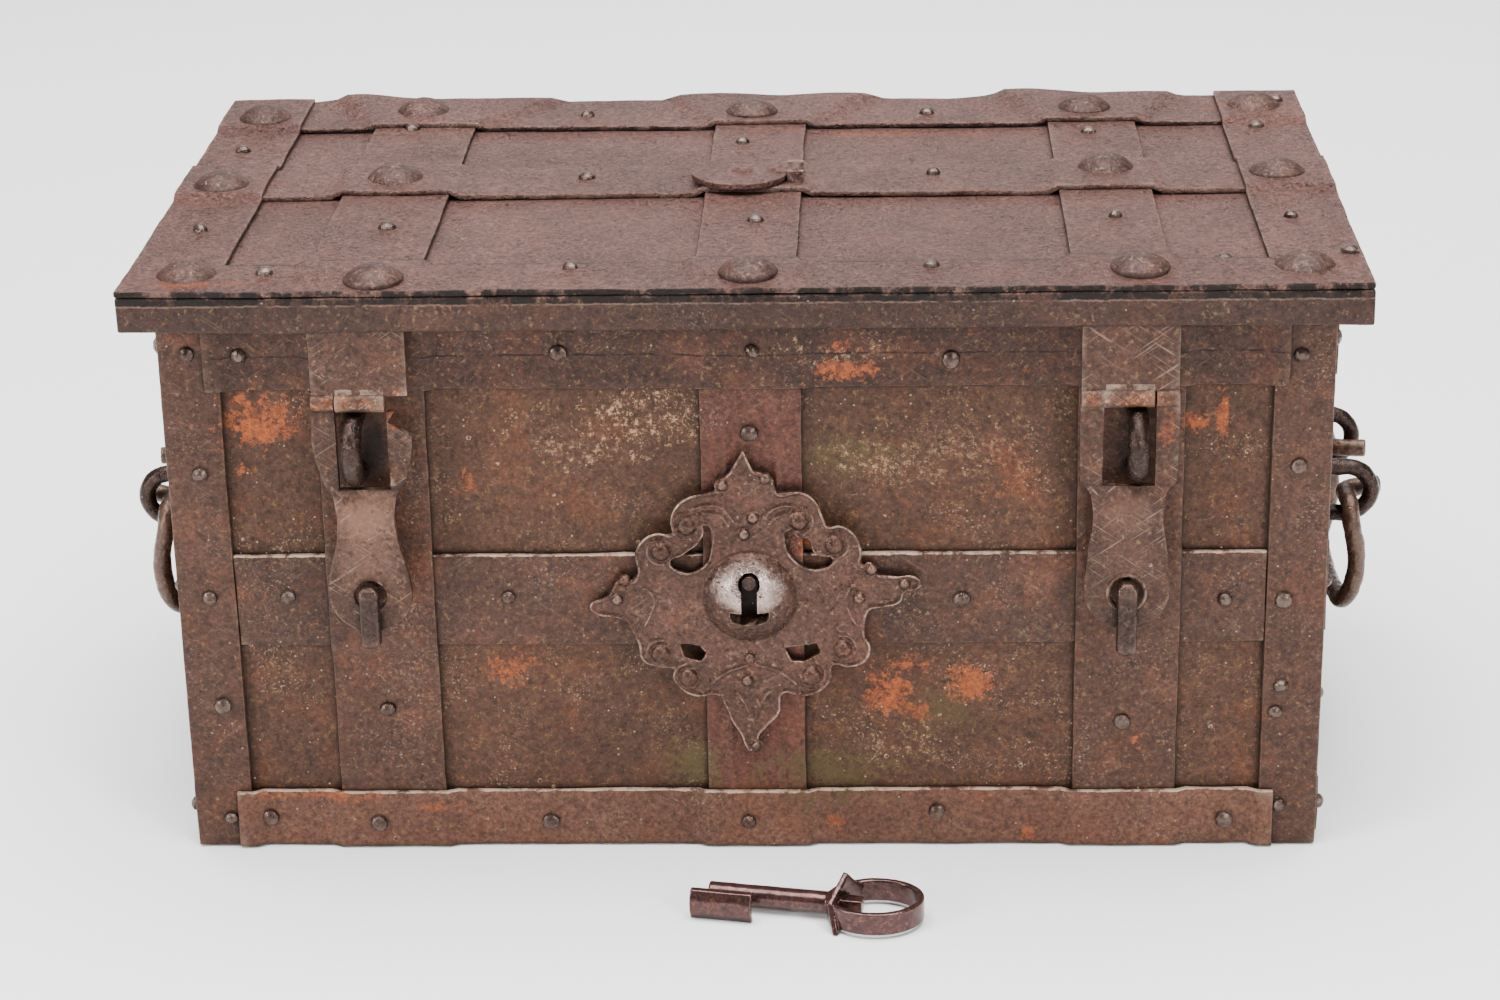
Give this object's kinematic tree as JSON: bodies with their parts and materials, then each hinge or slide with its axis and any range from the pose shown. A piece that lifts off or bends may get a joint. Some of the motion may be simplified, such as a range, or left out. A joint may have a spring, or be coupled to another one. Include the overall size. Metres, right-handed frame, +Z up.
{
  "type": "iron strongbox",
  "caption": "Riveted iron strongbox with crossed straps, hinged lid with a bolt lock under it, hasps with padlock staples, end bail handles, dummy lock plate and loose key.",
  "frame": {"origin": "centre of the bottom plate's underside, on the floor", "axes": "+X along the length, to the right seen from the front, +Y towards the hinges at the back, +Z up"},
  "size_m": [0.745, 0.4806, 0.3555],
  "materials": {
    "wall_iron": "old oiled sheet iron, brown, matt with a soft sheen",
    "strap_iron": "old oiled wrought strap, brown, worn pale along its edges",
    "lid_iron": "dusty wrought iron, soft sheen",
    "pitted_iron": "dark pitted forged iron, half polished by hands",
    "key_iron": "dark red-brown, smooth and glossy",
    "lock_iron": "greased filed iron"
  },
  "bodies": {
    "chest": {"front_wall": "wall_iron", "back_wall": "wall_iron", "left_wall": "wall_iron", "right_wall": "wall_iron", "bottom_plate": "wall_iron", "rim_lip": "wall_iron", "corner_strap_front_left": "strap_iron", "corner_strap_front_right": "strap_iron", "corner_strap_back_left": "strap_iron", "corner_strap_back_right": "strap_iron", "front_strap_left": "strap_iron", "front_strap_centre": "strap_iron", "front_strap_right": "strap_iron", "front_strap_rim": "strap_iron", "front_strap_middle": "strap_iron", "front_strap_base": "strap_iron", "wrap_strap_base": "strap_iron", "wrap_strap_middle": "strap_iron", "wrap_strap_rim": "strap_iron", "left_strap": "strap_iron", "right_strap": "strap_iron", "back_hinge_strap_left": "strap_iron", "back_strap_centre": "strap_iron", "back_hinge_strap_right": "strap_iron", "handle_eye_right_front": "pitted_iron", "handle_eye_right_rear": "pitted_iron", "handle_eye_left_front": "pitted_iron", "handle_eye_left_rear": "pitted_iron", "dummy_lock_plate": "pitted_iron", "padlock_staple_left": "pitted_iron", "padlock_staple_right": "pitted_iron"},
    "lid": {"lid_tray": "lid_iron", "lid_strap_left": "lid_iron", "lid_strap_centre": "lid_iron", "lid_strap_right": "lid_iron", "lid_strap_cross": "lid_iron", "lid_border_front": "lid_iron", "lid_border_rear": "lid_iron", "lid_border_left": "lid_iron", "lid_border_right": "lid_iron", "lid_hinge_leaf_left": "strap_iron", "lid_hinge_leaf_right": "strap_iron", "hasp_strap_left": "pitted_iron", "hasp_strap_right": "pitted_iron", "lock_carrier_plate": "lock_iron", "driver_bridge": "lock_iron"},
    "driver": {"lock_driver": "lock_iron"},
    "bolt_left": {"bolt_slide_left": "lock_iron"},
    "bolt_right": {"bolt_slide_right": "lock_iron"},
    "bolt_front": {"bolt_slide_front": "lock_iron"},
    "bolt_rear": {"bolt_slide_rear": "lock_iron"},
    "key_cover": {"keyhole_cover": "lid_iron"},
    "left_hasp": {"hasp_left": "pitted_iron"},
    "right_hasp": {"hasp_right": "pitted_iron"},
    "left_toggle": {"toggle_left": "pitted_iron"},
    "right_toggle": {"toggle_right": "pitted_iron"},
    "left_bail": {"bail_left": "pitted_iron"},
    "right_bail": {"bail_right": "pitted_iron"},
    "loose_key": {"key": "key_iron"}
  },
  "joints": [
    {"name": "lid_hinge", "type": "hinge", "parent": "chest", "child": "lid", "pos_m": [0, 0.1855, 0.316], "axis": [-1, 0, 0], "range_deg": [0, 100]},
    {"name": "driver_turn", "type": "hinge", "parent": "lid", "child": "driver", "pos_m": [-0.005, 0.014, 0.3265], "axis": [0, 0, 1], "range_deg": [0, 80]},
    {"name": "bolt_left_slide", "type": "slide", "parent": "lid", "child": "bolt_left", "axis": [-1, 0, 0], "range_m": [0, 0.016]},
    {"name": "bolt_right_slide", "type": "slide", "parent": "lid", "child": "bolt_right", "axis": [1, 0, 0], "range_m": [0, 0.016]},
    {"name": "bolt_front_slide", "type": "slide", "parent": "lid", "child": "bolt_front", "axis": [0, -1, 0], "range_m": [0, 0.016]},
    {"name": "bolt_rear_slide", "type": "slide", "parent": "lid", "child": "bolt_rear", "axis": [0, 1, 0], "range_m": [0, 0.016]},
    {"name": "cover_hinge", "type": "hinge", "parent": "lid", "child": "key_cover", "pos_m": [0.0256, 0.008, 0.3519], "axis": [0, 1, 0], "range_deg": [0, 150]},
    {"name": "left_hasp_swing", "type": "hinge", "parent": "lid", "child": "left_hasp", "pos_m": [-0.2105, -0.188, 0.2795], "axis": [-1, 0, 0], "range_deg": [0, 135]},
    {"name": "right_hasp_swing", "type": "hinge", "parent": "lid", "child": "right_hasp", "pos_m": [0.2105, -0.188, 0.2795], "axis": [-1, 0, 0], "range_deg": [0, 135]},
    {"name": "left_toggle_turn", "type": "hinge", "parent": "chest", "child": "left_toggle", "pos_m": [-0.2105, -0.1999, 0.1695], "axis": [-1, 0, 0], "range_deg": [0, 100]},
    {"name": "right_toggle_turn", "type": "hinge", "parent": "chest", "child": "right_toggle", "pos_m": [0.2105, -0.1999, 0.1695], "axis": [-1, 0, 0], "range_deg": [0, 100]},
    {"name": "left_bail_swing", "type": "hinge", "parent": "chest", "child": "left_bail", "pos_m": [-0.3505, 0, 0.1645], "axis": [0, 1, 0], "range_deg": [-10, 165]},
    {"name": "right_bail_swing", "type": "hinge", "parent": "chest", "child": "right_bail", "pos_m": [0.3505, 0, 0.1645], "axis": [0, -1, 0], "range_deg": [-10, 165]},
    {"name": "key_lift", "type": "slide", "parent": "chest", "child": "loose_key", "axis": [0, 0, 1], "range_m": [0, 0.25]}
  ],
  "couplings": [
    {"joint": "bolt_left_slide", "follows": "driver_turn", "m_per_rad": 0.01145},
    {"joint": "bolt_right_slide", "follows": "driver_turn", "m_per_rad": 0.01145},
    {"joint": "bolt_front_slide", "follows": "driver_turn", "m_per_rad": 0.01145},
    {"joint": "bolt_rear_slide", "follows": "driver_turn", "m_per_rad": 0.01145}
  ]
}
